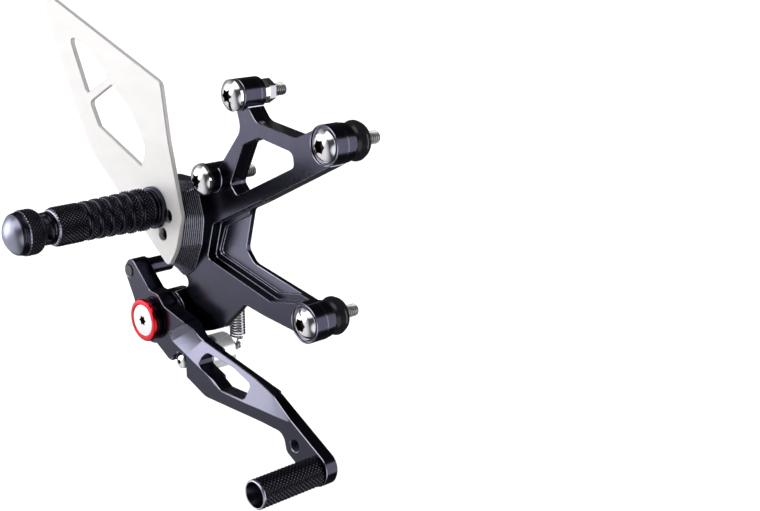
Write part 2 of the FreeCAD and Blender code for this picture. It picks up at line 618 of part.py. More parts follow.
def make_lever_fittings():
    outer = TOE_PEG_LENGTH
    peg = turned([
        (TOE_SCREW_R, LEVER_FRONT, 0), (TOE_PEG_R, LEVER_FRONT, 0.4),
        (TOE_PEG_R, LEVER_FRONT - outer + 0.8, 0), (TOE_PEG_R - 0.8, LEVER_FRONT - outer, 0),
        (TOE_PEG_BORE, LEVER_FRONT - outer, 0.2),
        (TOE_PEG_BORE, LEVER_FRONT - outer + TOE_PEG_BORE_DEPTH, 0),
        (TOE_SCREW_R, LEVER_FRONT - outer + TOE_PEG_BORE_DEPTH, 0),
    ], TOE)
    save("toe_peg", peg)

    cone = Part.makeCone(TOE_SCREW_R, TOE_SCREW_R + 3.4, 3.4, at(TOE[0], TOE_BACK - 3.4, TOE[1]), INBOARD)
    shank = rod(TOE_SCREW_R, LEVER_FRONT - 8, TOE_BACK - 3.4, TOE)
    drive = hexagon(5.0, TOE_BACK - 2.6, TOE_BACK + 1, TOE)
    save("toe_peg_screw", cone.fuse(shank).cut(drive).removeSplitter())

    head = turned([
        (0, LEVER_FRONT - 0.6, 0), (PIN_HEAD_R, LEVER_FRONT - 0.6, 0.4), (PIN_HEAD_R, LEVER_FRONT + 1.2, 0),
        (0, LEVER_FRONT + 1.2, 0),
    ], PIN)
    shank = stud(PIN_R, PIN_THREAD_R, LEVER_FRONT + 1.2, PUSHROD_SPACER_END, PUSHROD_STUD_END, PIN)
    save("pushrod_pin", head.fuse(shank).removeSplitter())
    spacer = turned([
        (PIN_R, LEVER_BACK, 0), (PUSHROD_SPACER_R, LEVER_BACK, 0.3), (PUSHROD_SPACER_R, LEVER_BACK + 4, 0.2),
        (PUSHROD_SPACER_R - 0.5, LEVER_BACK + 4.5, 0), (PUSHROD_SPACER_R - 0.5, PUSHROD_SPACER_END, 0.6),
        (PIN_R, PUSHROD_SPACER_END, 0),
    ], PIN)
    save("pushrod_spacer", spacer)

    seat = LEVER_FRONT + LUG_SET
    head = rod(4.75, seat - 0.9, seat, LUG).fuse(dome(4.75, 1.7, seat - 0.9, LUG))
    screw = head.fuse(rod(LUG_SCREW_R, seat, LEVER_BACK + 14, LUG))
    socket = hexagon(3.0, seat - 4, seat - 0.8, LUG)
    save("lug_screw", screw.cut(socket).removeSplitter())

    bobbin = turned([
        (LUG_SCREW_R, LEVER_BACK, 0), (6.0, LEVER_BACK, 0.3), (6.0, LEVER_BACK + 7, 1.5),
        (BOBBIN_R, LEVER_BACK + 9, 0.8), (BOBBIN_R, BOBBIN_END, 1.0), (0, BOBBIN_END, 0),
        (0, LEVER_BACK + 14, 0), (LUG_SCREW_R, LEVER_BACK + 14, 0),
    ], LUG)
    flat = plate([(LUG[0] - 20, LUG[1] + 9.2, 0), (LUG[0] - 20, LUG[1] + 20, 0),
                  (LUG[0] + 20, LUG[1] + 20, 0), (LUG[0] + 20, LUG[1] + 9.2, 0)],
                 LEVER_BACK + 8, BOBBIN_END - 12)
    hole = rod(SPRING_PIN_R, BOBBIN_END - 5, BOBBIN_END + 1, SPRING_PIN)
    save("spring_bobbin", bobbin.cut(flat).cut(hole))
    pin = turned([
        (0, BOBBIN_END - 5, 0), (SPRING_PIN_R, BOBBIN_END - 5, 0),
        (SPRING_PIN_R, BOBBIN_END + SPRING_PIN_REACH - 1, 0),
        (SPRING_PIN_R + 0.9, BOBBIN_END + SPRING_PIN_REACH - 1, 0),
        (SPRING_PIN_R + 0.9, BOBBIN_END + SPRING_PIN_REACH, 0.3), (0, BOBBIN_END + SPRING_PIN_REACH, 0),
    ], SPRING_PIN)
    save("spring_pin", pin)


# ---- return spring -----------------------------------------------------------------------------------
def make_spring():
    """A close-wound extension spring that hangs from the post and holds the bobbin's pin up."""
    height = COIL_PITCH * COIL_TURNS
    helix = Part.makeHelix(COIL_PITCH, height, COIL_R)
    helix.translate(at(SPRING_X, SPRING_Y, COIL_TOP - height))
    start = at(SPRING_X + COIL_R, SPRING_Y, COIL_TOP - height)
    section = Part.Wire(Part.makeCircle(WIRE_R, start, INBOARD))
    coil = Part.Wire(helix.Edges).makePipeShell([section], True, True)

    save("return_spring", coil)
    post = turned([
        (0, BACK - POST_SUNK, 0), (POST_R, BACK - POST_SUNK, 0), (POST_R, SPRING_Y + 2.0, 0),
        (POST_R + 1.0, SPRING_Y + 2.0, 0), (POST_R + 1.0, SPRING_Y + 3.2, 0.3), (0, SPRING_Y + 3.2, 0),
    ], POST)
    save("spring_post", post)


os.makedirs("parts", exist_ok=True)
make_bracket()
make_heel_guard()
make_peg()
make_frame_hardware()
make_pivot()
make_lever()
make_lever_fittings()
make_spring()
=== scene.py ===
import math

import bmesh
import bpy
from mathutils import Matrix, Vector


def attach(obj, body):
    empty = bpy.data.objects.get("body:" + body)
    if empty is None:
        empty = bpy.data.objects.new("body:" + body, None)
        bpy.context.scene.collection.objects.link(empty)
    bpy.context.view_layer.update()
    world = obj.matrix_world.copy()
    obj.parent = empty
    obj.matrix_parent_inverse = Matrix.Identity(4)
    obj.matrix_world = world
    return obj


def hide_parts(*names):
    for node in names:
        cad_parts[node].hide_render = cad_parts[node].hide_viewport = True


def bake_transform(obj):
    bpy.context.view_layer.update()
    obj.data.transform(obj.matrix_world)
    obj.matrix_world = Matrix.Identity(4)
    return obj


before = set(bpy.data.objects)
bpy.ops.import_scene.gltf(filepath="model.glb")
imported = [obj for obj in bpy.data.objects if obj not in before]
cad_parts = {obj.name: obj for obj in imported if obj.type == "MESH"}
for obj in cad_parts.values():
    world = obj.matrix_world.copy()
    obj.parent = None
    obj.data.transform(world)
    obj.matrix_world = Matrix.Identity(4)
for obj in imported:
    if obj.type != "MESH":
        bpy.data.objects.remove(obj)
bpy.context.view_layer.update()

MM = 0.001
ROOT = "bracket_group"
LEVER = "lever"

# Places repeated from the part's source, in millimetres (x, z) of axes along Y.
UPPER_FRONT = (0.0, 0.0)
LOWER_FRONT = (-18.8, -108.6)
TOP_REAR = (-72.1, 20.9)
REAR = (-102.6, -34.0)
PEG = (-142.7, -57.0)
SPARE_PEG_HOLES = [(-135.3, -73.0), (-128.9, -60.3)]
PIN = (-173.9, -105.2)
TOE = (8.8, -187.7)
PIVOT = (-151.8, -132.9)
LUG = (-124.2, -155.9)
SPARE_TOE_HOLE = (-9.2, -177.4)
SPRING_POST = (-113.8, -113.5)
SPRING_PIN = (-115.9, -152.4)

# Levels along Y, also from there. Outboard is towards -Y.
GUARD_FACE = -47.0      # the heel guard's outer face
LEVER_FRONT = -48.0
PLATE_FACE = -31.2      # just outboard of the bracket's plate, so the pedestal is what lies beyond
PEDESTAL_END = -112.0   # the pedestal lies rearward of this x
POCKET_FLOOR = -22.5

# Screw threads. M8 is drawn at 1.5 mm a turn, not 1.25, so that the turns show.
M8_CREST = 3.95
M8_HOLE = 3.98
M8_PITCH = 1.5
M6_CREST = 2.95
M6_PITCH = 1.0


# ---- materials ----------------------------------------------------------------------------------
class Looks:
    """A small helper that wires node materials."""

    def __init__(self, name):
        self.material = bpy.data.materials.new(name)
        self.material.use_nodes = True
        self.nodes = self.material.node_tree.nodes
        self.links = self.material.node_tree.links
        self.shader = self.nodes["Principled BSDF"]
        self.coords = self.nodes.new("ShaderNodeTexCoord")

    def add(self, kind, **settings):
        node = self.nodes.new(kind)
        for key, value in settings.items():
            setattr(node, key, value)
        return node

    def link(self, source, target):
        self.links.new(source, target)

    def axes(self, kind):
        """The x, y and z sockets of the Object or the Normal coordinates."""
        split = self.add("ShaderNodeSeparateXYZ")
        self.link(self.coords.outputs[kind], split.inputs[0])
        return split.outputs

    # this height drives the painted highlight on knurl tips and the painted shade in thread roots
    def standout(self):
        """The mesh attribute that says how far a knurl or a thread stands out, from 0 to 1."""
        return self.add("ShaderNodeAttribute", attribute_name="standout").outputs["Fac"]

    def noise(self, scale, stretch=(1, 1, 1), detail=3.0):
        """Noise over the object's own coordinates; scale is in features per metre."""
        place = self.add("ShaderNodeMapping")
        place.inputs["Scale"].default_value = stretch
        self.link(self.coords.outputs["Object"], place.inputs["Vector"])
        texture = self.add("ShaderNodeTexNoise")
        texture.inputs["Scale"].default_value = scale
        texture.inputs["Detail"].default_value = detail
        self.link(place.outputs["Vector"], texture.inputs["Vector"])
        return texture.outputs["Fac"]

    def remap(self, value, low, high, from_low=0.3, from_high=0.7, smooth=False):
        node = self.add("ShaderNodeMapRange")
        if smooth:
            node.interpolation_type = "SMOOTHSTEP"
        node.inputs["From Min"].default_value = from_low
        node.inputs["From Max"].default_value = from_high
        node.inputs["To Min"].default_value = low
        node.inputs["To Max"].default_value = high
        self.link(value, node.inputs["Value"])
        return node.outputs["Result"]

    def blend(self, factor, first, second):
        """Mixes two colours, each a tuple or a socket, by a socket."""
        node = self.add("ShaderNodeMix", data_type="RGBA")
        self.link(factor, node.inputs[0])
        for index, colour in ((6, first), (7, second)):
            if isinstance(colour, tuple):
                node.inputs[index].default_value = (*colour, 1)
            else:
                self.link(colour, node.inputs[index])
        return node.outputs[2]

    def overlay(self, mask, colour):
        """Lays a colour over the base colour where the mask is one."""
        base = self.shader.inputs["Base Color"].links[0].from_socket
        self.link(self.blend(mask, base, colour), self.shader.inputs["Base Color"])

    def maths(self, operation, first, second=None):
        node = self.add("ShaderNodeMath", operation=operation)
        for index, value in enumerate((first, second)):
            if value is None:
                continue
            if isinstance(value, (int, float)):
                node.inputs[index].default_value = value
            else:
                self.link(value, node.inputs[index])
        return node.outputs[0]

    def bump(self, height, distance):
        node = self.add("ShaderNodeBump")
        node.inputs["Strength"].default_value = 1.0
        node.inputs["Distance"].default_value = distance
        self.link(height, node.inputs["Height"])
        self.link(node.outputs["Normal"], self.shader.inputs["Normal"])


def metal(name, dark, light, rough, grain, stretch=(1, 1, 1), metallic=1.0, relief=0.0):
    """Metal whose tone and gloss drift a little; grain is in features per metre."""
    look = Looks(name)
    drift = look.noise(grain, stretch)
    look.link(look.blend(drift, dark, light), look.shader.inputs["Base Color"])
    fine = look.noise(grain * 6, stretch)
    look.link(look.remap(fine, rough[0], rough[1]), look.shader.inputs["Roughness"])
    look.shader.inputs["Metallic"].default_value = metallic
    if relief:
        look.bump(fine, relief)
    return look


def mill(look, mask, direction, pitch, valley, crest, depth):
    """Parallel cutter lines where the mask is one, with a pitch and a depth in metres."""
    position = look.axes("Object")
    across = None
    for axis, weight in enumerate(direction):
        if weight:
            term = look.maths("MULTIPLY", position[axis], weight * 2 * math.pi / pitch)
            across = term if across is None else look.maths("ADD", across, term)
    wave = look.maths("SINE", across)
    look.overlay(mask, look.blend(look.remap(wave, 0, 1, -1, 1), valley, crest))
    look.bump(look.maths("MULTIPLY", wave, mask), depth)


def anodised(name, relief=0.000002):
    """Satin black anodising."""
    return metal(name, (0.038, 0.038, 0.056), (0.051, 0.051, 0.074), (0.17, 0.23), 90,
                 relief=relief)


def anodised_lever():
    """Black anodising, with cutter lines on the tilted front faces drawn light as a painted sheen.
    """
    look = anodised("black_lever", 0.0)
    outward = look.axes("Normal")[1]
    front = look.remap(outward, 1, 0, -0.86, -0.8)
    tilted = look.remap(outward, 0, 1, -0.9985, -0.9965)
    # the cutter lines are the milling pattern; their light tone is a painted sheen
    mill(look, look.maths("MULTIPLY", front, tilted), (0.55, 0, 0.83), 0.0007,
         (0.12, 0.12, 0.158), (0.17, 0.17, 0.222), 0.000004)
    return look


def anodised_bracket():
    """Black anodising, with cutter lines on the pocket's floor drawn paler as a painted sheen."""
    look = anodised("black_bracket", 0.0)
    level = look.axes("Object")[1]
    below = look.remap(level, 0, 1, (POCKET_FLOOR - 0.7) * MM, (POCKET_FLOOR - 0.3) * MM)
    above = look.remap(level, 1, 0, (POCKET_FLOOR + 0.3) * MM, (POCKET_FLOOR + 0.7) * MM)
    # the cutter lines are the milling pattern; their paler tone is a painted sheen
    mill(look, look.maths("MULTIPLY", below, above), (0.5, 0, 0.86), 0.0011,
         (0.075, 0.075, 0.105), (0.115, 0.115, 0.16), 0.00001)
    return look


def knurl_painted_tips():
    """Black knurling with a painted highlight that lightens the tips of the teeth."""
    look = metal("black_knurl", (0.014, 0.014, 0.019), (0.024, 0.023, 0.031), (0.25, 0.35), 300)
    # painted highlight: the higher a tooth stands, the lighter its colour
    tip = look.remap(look.standout(), 0, 1, 0.55, 0.95, smooth=True)
    look.overlay(tip, (0.34, 0.33, 0.43))
    return look


def thread_steel():
    """Bright steel with painted shade in the roots of the thread."""
    look = metal("thread_steel", (0.8, 0.78, 0.76), (0.92, 0.9, 0.88), (0.25, 0.35), 300)
    # painted shade: the deeper the root, the darker the colour
    root = look.remap(look.standout(), 1, 0, 0.15, 0.6, smooth=True)
    look.overlay(root, (0.07, 0.05, 0.045))
    return look


# Each metal: its darker and lighter tone, its range of roughness, and its grain.
BLACK = anodised("black_anodised")
BLACK_LEVER = anodised_lever()
BLACK_BRACKET = anodised_bracket()
GUARD = metal("brushed_guard", (0.535, 0.52, 0.513), (0.615, 0.599, 0.593), (0.5, 0.58), 25,
              stretch=(1, 1, 4), metallic=0.45, relief=0.000004)
CAP = metal("grey_cap", (0.3, 0.31, 0.4), (0.36, 0.37, 0.47), (0.26, 0.34), 900)
RED = metal("red_anodised", (0.75, 0.02, 0.035), (0.85, 0.035, 0.05), (0.1, 0.16), 200)
POLISHED = metal("polished_steel", (0.86, 0.86, 0.89), (0.93, 0.93, 0.95), (0.06, 0.12), 120)
STEEL = metal("steel", (0.5, 0.5, 0.53), (0.62, 0.62, 0.65), (0.22, 0.34), 300, relief=0.000003)
NUT_STEEL = metal("nut_steel", (0.3, 0.3, 0.33), (0.4, 0.4, 0.43), (0.2, 0.3), 300,
                  relief=0.000003)
DRIVE = metal("socket_shadow", (0.035, 0.025, 0.02), (0.09, 0.065, 0.05), (0.4, 0.6), 900,
              relief=0.00001)
DARK_STEEL = metal("dark_steel", (0.05, 0.05, 0.055), (0.11, 0.105, 0.11), (0.32, 0.5), 500,
                   relief=0.00001)
BOBBIN = metal("bobbin_polish", (0.8, 0.8, 0.83), (0.9, 0.9, 0.93), (0.2, 0.28), 200,
               metallic=0.45)
WIRE = metal("spring_wire", (0.55, 0.55, 0.6), (0.75, 0.75, 0.8), (0.12, 0.22), 400)
# painted highlight: chamfers and rings on the turned pieces, lighter than the anodising
EDGE_HIGHLIGHT = metal("painted_edge_highlight", (0.4, 0.4, 0.5), (0.58, 0.58, 0.7), (0.22, 0.32), 400)
# painted highlight on the heel guard's chamfers
GUARD_EDGE = metal("guard_edge", (0.62, 0.61, 0.61), (0.78, 0.77, 0.77), (0.3, 0.4), 60)
SPACER = metal("black_spacer", (0.004, 0.004, 0.006), (0.009, 0.009, 0.012), (0.16, 0.24), 400,
               metallic=0.0, relief=0.000004)
KNURL = knurl_painted_tips()
THREAD = thread_steel()

NODE_LOOKS = {
    "bracket": BLACK_BRACKET, "brake_lever": BLACK_LEVER, "heel_guard": GUARD,
    "guard_dowel": STEEL, "peg_base": BLACK, "peg_end_cap": CAP, "peg_bolt": STEEL,
    "boss_rings": BLACK, "bulged_spacers": SPACER, "spacer_sleeves": STEEL,
    "head_washers": DARK_STEEL, "top_rear_spacer": POLISHED, "top_rear_nut": NUT_STEEL,
    "bearing_inner_races": STEEL, "bearing_outer_races": STEEL, "bearing_balls": POLISHED,
    "race_spacer": STEEL, "pivot_axle": STEEL, "hub_collar": BLACK, "pivot_ring": RED,
    "pivot_screw": POLISHED, "spring_post": STEEL, "toe_peg_screw": STEEL,
    "pushrod_spacer": BLACK, "lug_screw": POLISHED, "spring_bobbin": BOBBIN,
    "spring_pin": STEEL, "front_frame_bolts": POLISHED, "top_rear_bolt": POLISHED,
    "rear_bolt": POLISHED, "pushrod_pin": DARK_STEEL, "peg_sleeve": KNURL, "peg_knob": KNURL,
    "toe_peg": KNURL, "return_spring": WIRE,
}
for node, look in NODE_LOOKS.items():
    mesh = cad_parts[node].data
    mesh.materials.clear()
    mesh.materials.append(look.material)


# ---- mesh helpers -------------------------------------------------------------------------------
def around(place, radius, angle, y):
    """A point at a radius and an angle about an axis along Y."""
    return place[0] + radius * math.cos(angle), y, place[1] + radius * math.sin(angle)


def new_piece(name, vertices, faces, looks, body, smooth=None, face_looks=None, standout=None):
    """A mesh object in metres from millimetre vertices, riding on a body."""
    mesh = bpy.data.meshes.new(name)
    mesh.from_pydata([Vector(v) * MM for v in vertices], [], faces)
    for look in looks:
        mesh.materials.append(look.material)
    if smooth is None:
        smooth = [True] * len(faces)
    mesh.polygons.foreach_set("use_smooth", smooth)
    if face_looks is not None:
        mesh.polygons.foreach_set("material_index", face_looks)
    if standout is not None:
        mesh.attributes.new("standout", "FLOAT", "POINT").data.foreach_set("value", standout)
    mesh.update()
    piece = bpy.data.objects.new(name, mesh)
    bpy.context.scene.collection.objects.link(piece)
    if body:
        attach(piece, body)
    return piece


def start_copy(name, node, looks):
    """A new object with a copy of a node's mesh, and a bmesh of it to work on."""
    piece = bpy.data.objects.new(name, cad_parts[node].data.copy())
    piece.data.materials.clear()
    for look in looks:
        piece.data.materials.append(look.material)
    shape = bmesh.new()
    shape.from_mesh(piece.data)
    return piece, shape


def keep_copy(piece, shape, node, body):
    """Writes the worked mesh back and lets the piece stand for its node."""
    shape.to_mesh(piece.data)
    shape.free()
    bpy.context.scene.collection.objects.link(piece)
    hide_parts(node)
    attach(piece, body)


TOOTH_STEPS = 8     # mesh steps across one tooth of a knurl


def stations(profile, step):
    """Even stations along a profile of (distance, radius, knurl height) corners."""
    rows = [profile[0]]
    for here, there in zip(profile, profile[1:]):
        count = 1
        if here[2] and there[2]:
            count = max(1, round(math.hypot(there[0] - here[0], there[1] - here[1]) / step))
        for index in range(1, count + 1):
            share = index / count
            rows.append(tuple(a + (b - a) * share for a, b in zip(here, there)))
    return rows


def knurl(turn, along, pitch_turn, pitch_along):
    """Height from 0 to 1 of a diamond knurl."""
    def wave(value):
        return 1 - abs((value % 1.0) - 0.5) * 2

    first = wave(turn / pitch_turn + along / pitch_along)
    second = wave(turn / pitch_turn - along / pitch_along)
    return min(first, second)


def turned_piece(name, profile, place, start, teeth, pitch, node, body, highlight_span):
    """A closed turned piece along -Y, for a node, with a painted highlight on the stretch given
    last.

    The profile's corners are (distance, radius, knurl height).
    """
    segments = teeth * TOOTH_STEPS
    rows = stations(profile, pitch / TOOTH_STEPS)
    vertices = []
    standout = []
    for distance, radius, height in rows:
        for index in range(segments):
            share = knurl(index, distance, TOOTH_STEPS, pitch) if height else 0.0
            standout.append(share)
            vertices.append(around(place, radius + height * share, 2 * math.pi * index / segments,
                                   start - distance))
    faces = []
    smooth = []
    face_looks = []
    for row in range(len(rows)):
        following = (row + 1) % len(rows)
        rough_row = rows[row][2] > 0 or rows[following][2] > 0
        # the stretch that takes the painted highlight
        highlit = highlight_span[0] <= (rows[row][0] + rows[following][0]) / 2 <= highlight_span[1]
        for index in range(segments):
            beside = (index + 1) % segments
            faces.append((row * segments + index, row * segments + beside,
                          following * segments + beside, following * segments + index))
            smooth.append(not rough_row)
            face_looks.append(1 if highlit else 0 if rough_row else 2)
    piece = new_piece(name, vertices, faces, [KNURL, EDGE_HIGHLIGHT, BLACK], body,
                      smooth, face_looks, standout)
    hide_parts(node)


THREAD_SIDES = 40
THREAD_STEPS = 8        # rows of vertices in one turn's height
THREAD_DEPTH = 0.6      # of the pitch
THREAD_FLAT = 0.1       # of half a turn, flat at the crest and again at the root
LEAD_IN = 0.75          # the chamfer at a stud's inboard end
LINING_WALL = 0.3       # how far a hole's lining reaches into the solid round it


def thread_piece(name, place, y0, y1, crest, pitch, inside, look, body):
    """A closed V thread along Y from y0 inboard to y1: a stud, or the lining of a hole."""
    rows = max(2, round((y1 - y0) / (pitch / THREAD_STEPS)))
    vertices = []
    faces = []
    standout = []
    turns = [index / THREAD_SIDES for index in range(THREAD_SIDES)]
    for row in range(rows + 1):
        y = y0 + (y1 - y0) * row / rows
        for turn in turns:
            share = abs(((y / pitch + turn) % 1.0) - 0.5) * 2
            share = min(1.0, max(0.0, (share - THREAD_FLAT) / (1 - 2 * THREAD_FLAT)))
            radius = crest - THREAD_DEPTH * pitch * share
            standout.append(1.0 - share)
            if not inside:
                radius = min(radius, crest - LEAD_IN + (y1 - y))
            vertices.append(around(place, radius, 2 * math.pi * turn, y))
    for row in range(rows):
        here = row * THREAD_SIDES
        above = here + THREAD_SIDES
        for index in range(THREAD_SIDES):
            beside = (index + 1) % THREAD_SIDES
            faces.append((here + index, above + index, above + beside, here + beside))
    last = rows * THREAD_SIDES
    if inside:
        faces = [tuple(reversed(face)) for face in faces]
        near = len(vertices)
        far = near + THREAD_SIDES
        for y in (y0, y1):
            for turn in turns:
                vertices.append(around(place, crest + LINING_WALL, 2 * math.pi * turn, y))
                standout.append(0.0)
        for index in range(THREAD_SIDES):
            beside = (index + 1) % THREAD_SIDES
            faces.append((near + index, far + index, far + beside, near + beside))
            faces.append((index, near + index, near + beside, beside))
            faces.append((last + beside, far + beside, far + index, last + index))
    else:
        faces.append(tuple(range(THREAD_SIDES)))
        faces.append(tuple(reversed(range(last, last + THREAD_SIDES))))
    return new_piece(name, vertices, faces, [look], body, [False] * len(faces), None, standout)


# Each screw's drive: its axis, the levels outboard and inboard of it, and its reach.
DRIVES = [
    (UPPER_FRONT, -40.0, -29.0, 4.6), (LOWER_FRONT, -40.0, -29.0, 4.6),
    (TOP_REAR, -43.0, -33.0, 4.6), (REAR, -45.0, -35.0, 4.6), (PIVOT, -54.2, -50.5, 3.6),
    (LUG, -46.6, -43.5, 1.9),
]
DRIVE_RIM = 2.0     # a level face further inboard of the outboard level than this is the floor


def mark_drive(shape):
    """Gives the walls and floor of each screw's drive the second material."""
    for place, low, high, limit in DRIVES:
        for face in shape.faces:
            middle = face.calc_center_median() / MM
            reach = max(math.hypot(v.co.x / MM - place[0], v.co.z / MM - place[1])
                        for v in face.verts)
            wall = abs(face.normal.y) < 0.5
            if reach < limit and low < middle.y < high and (wall or middle.y > low + DRIVE_RIM):
                face.material_index = 1


MERGE = 0.002       # vertices this near each other, in millimetres, are one
SHARP = 28.0        # degrees at which an edge gets a chamfer
FRONT = 0.8         # a front or back face has a normal with at least this much Y
LEVEL = 0.9985      # and a level one has at least this much


def close_end(shape):
    """Caps the open ends that a cut leaves at the inboard end of a shaft."""
    top = max(v.co.y for v in shape.verts) - 0.01 * MM
    ring = [v for v in shape.verts if v.co.y > top]
    bmesh.ops.remove_doubles(shape, verts=ring, dist=MERGE * MM)
    rim = [e for e in shape.edges if e.is_boundary and min(v.co.y for v in e.verts) > top]
    bmesh.ops.holes_fill(shape, edges=rim, sides=0)


def cut_copy(name, node, limit, look, body):
    """A copy of a node without what lies inboard of limit (mm), where a thread takes its place."""
    piece, shape = start_copy(name, node, (look, DRIVE))
    gone = [f for f in shape.faces if min(v.co.y for v in f.verts) > limit * MM]
    bmesh.ops.delete(shape, geom=gone, context="FACES")
    if gone:
        close_end(shape)
    mark_drive(shape)
    keep_copy(piece, shape, node, body)


def chamfer(shape, width, keep):
    """Bevels the sharp edges whose ends pass keep; the new faces take the second material, a
    painted highlight.
    """
    chosen = []
    for edge in shape.edges:
        if len(edge.link_faces) != 2 or edge.calc_face_angle(0.0) < math.radians(SHARP):
            continue
        if all(keep(vertex.co / MM) for vertex in edge.verts):
            chosen.append(edge)
    bmesh.ops.bevel(shape, geom=chosen, offset=width * MM, offset_type="OFFSET", segments=1,
                    profile=0.5, affect="EDGES", clamp_overlap=False, material=1)


def crease_limit(edge):
    """The angle in degrees above which an edge is drawn sharp."""
    fronts = [abs(face.normal.y) for face in edge.link_faces]
    if min(fronts) > FRONT and max(fronts) < LEVEL:
        return 15.0     # between two tilted front faces
    if max(fronts) > FRONT:
        return 2.0      # where a level front face ends
    return 24.0


def edged_copy(node, look, edge_look, body, cuts):
    """A copy of a node whose sharp edges carry the narrow chamfer a cutter leaves, coloured as a
    painted highlight.
    """
    piece, shape = start_copy(f"{node}_edged", node, (look, edge_look))
    bmesh.ops.remove_doubles(shape, verts=shape.verts[:], dist=MERGE * MM)
    bmesh.ops.dissolve_limit(shape, angle_limit=math.radians(1.0), use_dissolve_boundaries=False,
                             verts=shape.verts[:], edges=shape.edges[:])
    for width, keep in cuts:
        chamfer(shape, width, keep)
    for face in shape.faces:
        face.smooth = True
    for edge in shape.edges:
        if len(edge.link_faces) == 2:
            edge.smooth = edge.calc_face_angle(0.0) < math.radians(crease_limit(edge))
    keep_copy(piece, shape, node, body)


def off_pedestal(point):
    return point.y > PLATE_FACE or point.x > PEDESTAL_END


def on_pedestal(point):
    return point.y < PLATE_FACE and point.x < PEDESTAL_END


def anywhere(point):
    return True


edged_copy("bracket", BLACK_BRACKET, EDGE_HIGHLIGHT, ROOT,
           [(0.35, off_pedestal), (0.12, on_pedestal)])
edged_copy("brake_lever", BLACK_LEVER, EDGE_HIGHLIGHT, LEVER, [(0.35, anywhere)])
edged_copy("heel_guard", GUARD, GUARD_EDGE, ROOT, [(0.4, anywhere)])


# ---- threads ------------------------------------------------------------------------------------
def stud(name, place, y0, y1, crest=M8_CREST, pitch=M8_PITCH, body=ROOT):
    thread_piece(name, place, y0, y1, crest, pitch, False, THREAD, body)


def lining(name, place, y0, y1, body):
    thread_piece(name, place, y0, y1, M8_HOLE, M8_PITCH, True, BLACK, body)


# Each shaft is cut where its thread starts, and the thread piece begins just inside what is left.
cut_copy("front_bolts_cut", "front_frame_bolts", -0.5, POLISHED, ROOT)
for index, place in enumerate((UPPER_FRONT, LOWER_FRONT)):
    stud(f"front_thread_{index}", place, -0.9, 10.0)
cut_copy("top_rear_bolt_cut", "top_rear_bolt", -9.9, POLISHED, ROOT)
stud("top_rear_thread", TOP_REAR, -10.4, 1.39)
cut_copy("rear_bolt_cut", "rear_bolt", -19.5, POLISHED, ROOT)
stud("rear_thread", REAR, -19.9, 0.79)
cut_copy("pushrod_pin_cut", "pushrod_pin", -16.5, DARK_STEEL, LEVER)
stud("pushrod_thread", PIN, -16.9, -4.01, M6_CREST, M6_PITCH, LEVER)
cut_copy("pivot_screw_marked", "pivot_screw", 0.0, POLISHED, ROOT)
cut_copy("lug_screw_marked", "lug_screw", 0.0, POLISHED, LEVER)
for index, place in enumerate(SPARE_PEG_HOLES):
    lining(f"spare_peg_thread_{index}", place, -43.8, -26.1, ROOT)
lining("spare_toe_thread", SPARE_TOE_HOLE, -47.6, -39.9, LEVER)


# ---- knurled pieces -----------------------------------------------------------------------------
# Profiles are (distance, radius, knurl height), outboard from the face that the piece starts at.
GRIP_TOPS = [13.0, 13.0, 12.6, 12.4, 12.2, 12.0, 11.9]      # radius of each land
GRIP_HEIGHTS = [1.3, 1.2, 0.8, 0.7, 0.65, 0.6, 0.6]
FIRST_GROOVE = 16.5
GROOVE_PITCH = 7.37
GROOVE_DEPTH = 1.4


def grip_profile():
    """The grooved grip, from the heel guard outboard."""
    profile = [(8.0, 6.5, 0), (8.0, GRIP_TOPS[0] - 0.9, 0), (8.7, GRIP_TOPS[0] - 0.5, 0)]
    start = 8.8
    for index in range(6):
        middle = FIRST_GROOVE + GROOVE_PITCH * index
        floor_r = GRIP_TOPS[index + 1] - GROOVE_DEPTH
        base = GRIP_TOPS[index] - 0.5 * GRIP_HEIGHTS[index]
        profile += [
            (start, base, GRIP_HEIGHTS[index]), (middle - 2.0, base, GRIP_HEIGHTS[index]),
            (middle - 1.7, base - 0.2, 0), (middle - 1.5, floor_r + 0.4, 0),
            (middle - 0.9, floor_r, 0), (middle + 0.9, floor_r, 0),
            (middle + 1.5, floor_r + 0.4, 0),
        ]
        start = middle + 1.75
    base = GRIP_TOPS[6] - 0.3
    profile += [(start, base, 0.6), (72.0, base, 0.6), (73.6, base - 0.5, 0.4),
                (73.7, base - 0.3, 0), (75.0, 10.3, 0), (75.0, 6.5, 0)]
    return profile


KNOB_PROFILE = [
    (75.0, 6.4, 0), (75.0, 9.7, 0), (75.2, 9.9, 0), (78.1, 9.9, 0), (78.4, 9.45, 0),
    (78.8, 9.45, 0), (79.1, 9.9, 0), (82.0, 9.6, 0), (82.3, 9.8, 0.3), (83.4, 10.8, 0.5),
    (84.6, 12.0, 0.6), (86.0, 12.9, 0.65), (87.6, 13.3, 0.65), (93.6, 13.3, 0.65),
    (94.2, 13.1, 0.5), (94.3, 13.35, 0), (95.0, 13.0, 0), (95.8, 12.8, 0), (96.0, 12.55, 0),
    (96.2, 12.8, 0), (96.9, 12.7, 0), (97.1, 12.4, 0), (97.3, 12.6, 0), (98.2, 12.4, 0),
    (99.0, 11.9, 0), (99.0, 8.0, 0), (91.0, 8.0, 0), (91.0, 6.4, 0),
]
TOE_PROFILE = [
    (0.0, 4.0, 0), (0.0, 8.4, 0), (0.4, 8.7, 0), (0.5, 8.35, 0.6), (43.4, 8.35, 0.6),
    (43.5, 8.75, 0), (44.3, 8.75, 0), (45.0, 8.2, 0), (45.0, 7.8, 0), (44.8, 7.6, 0),
    (10.0, 7.6, 0), (10.0, 4.0, 0),
]
turned_piece("grip_knurled", grip_profile(), PEG, GUARD_FACE, 34, 2.5, "peg_sleeve", ROOT,
             (73.6, 74.6))
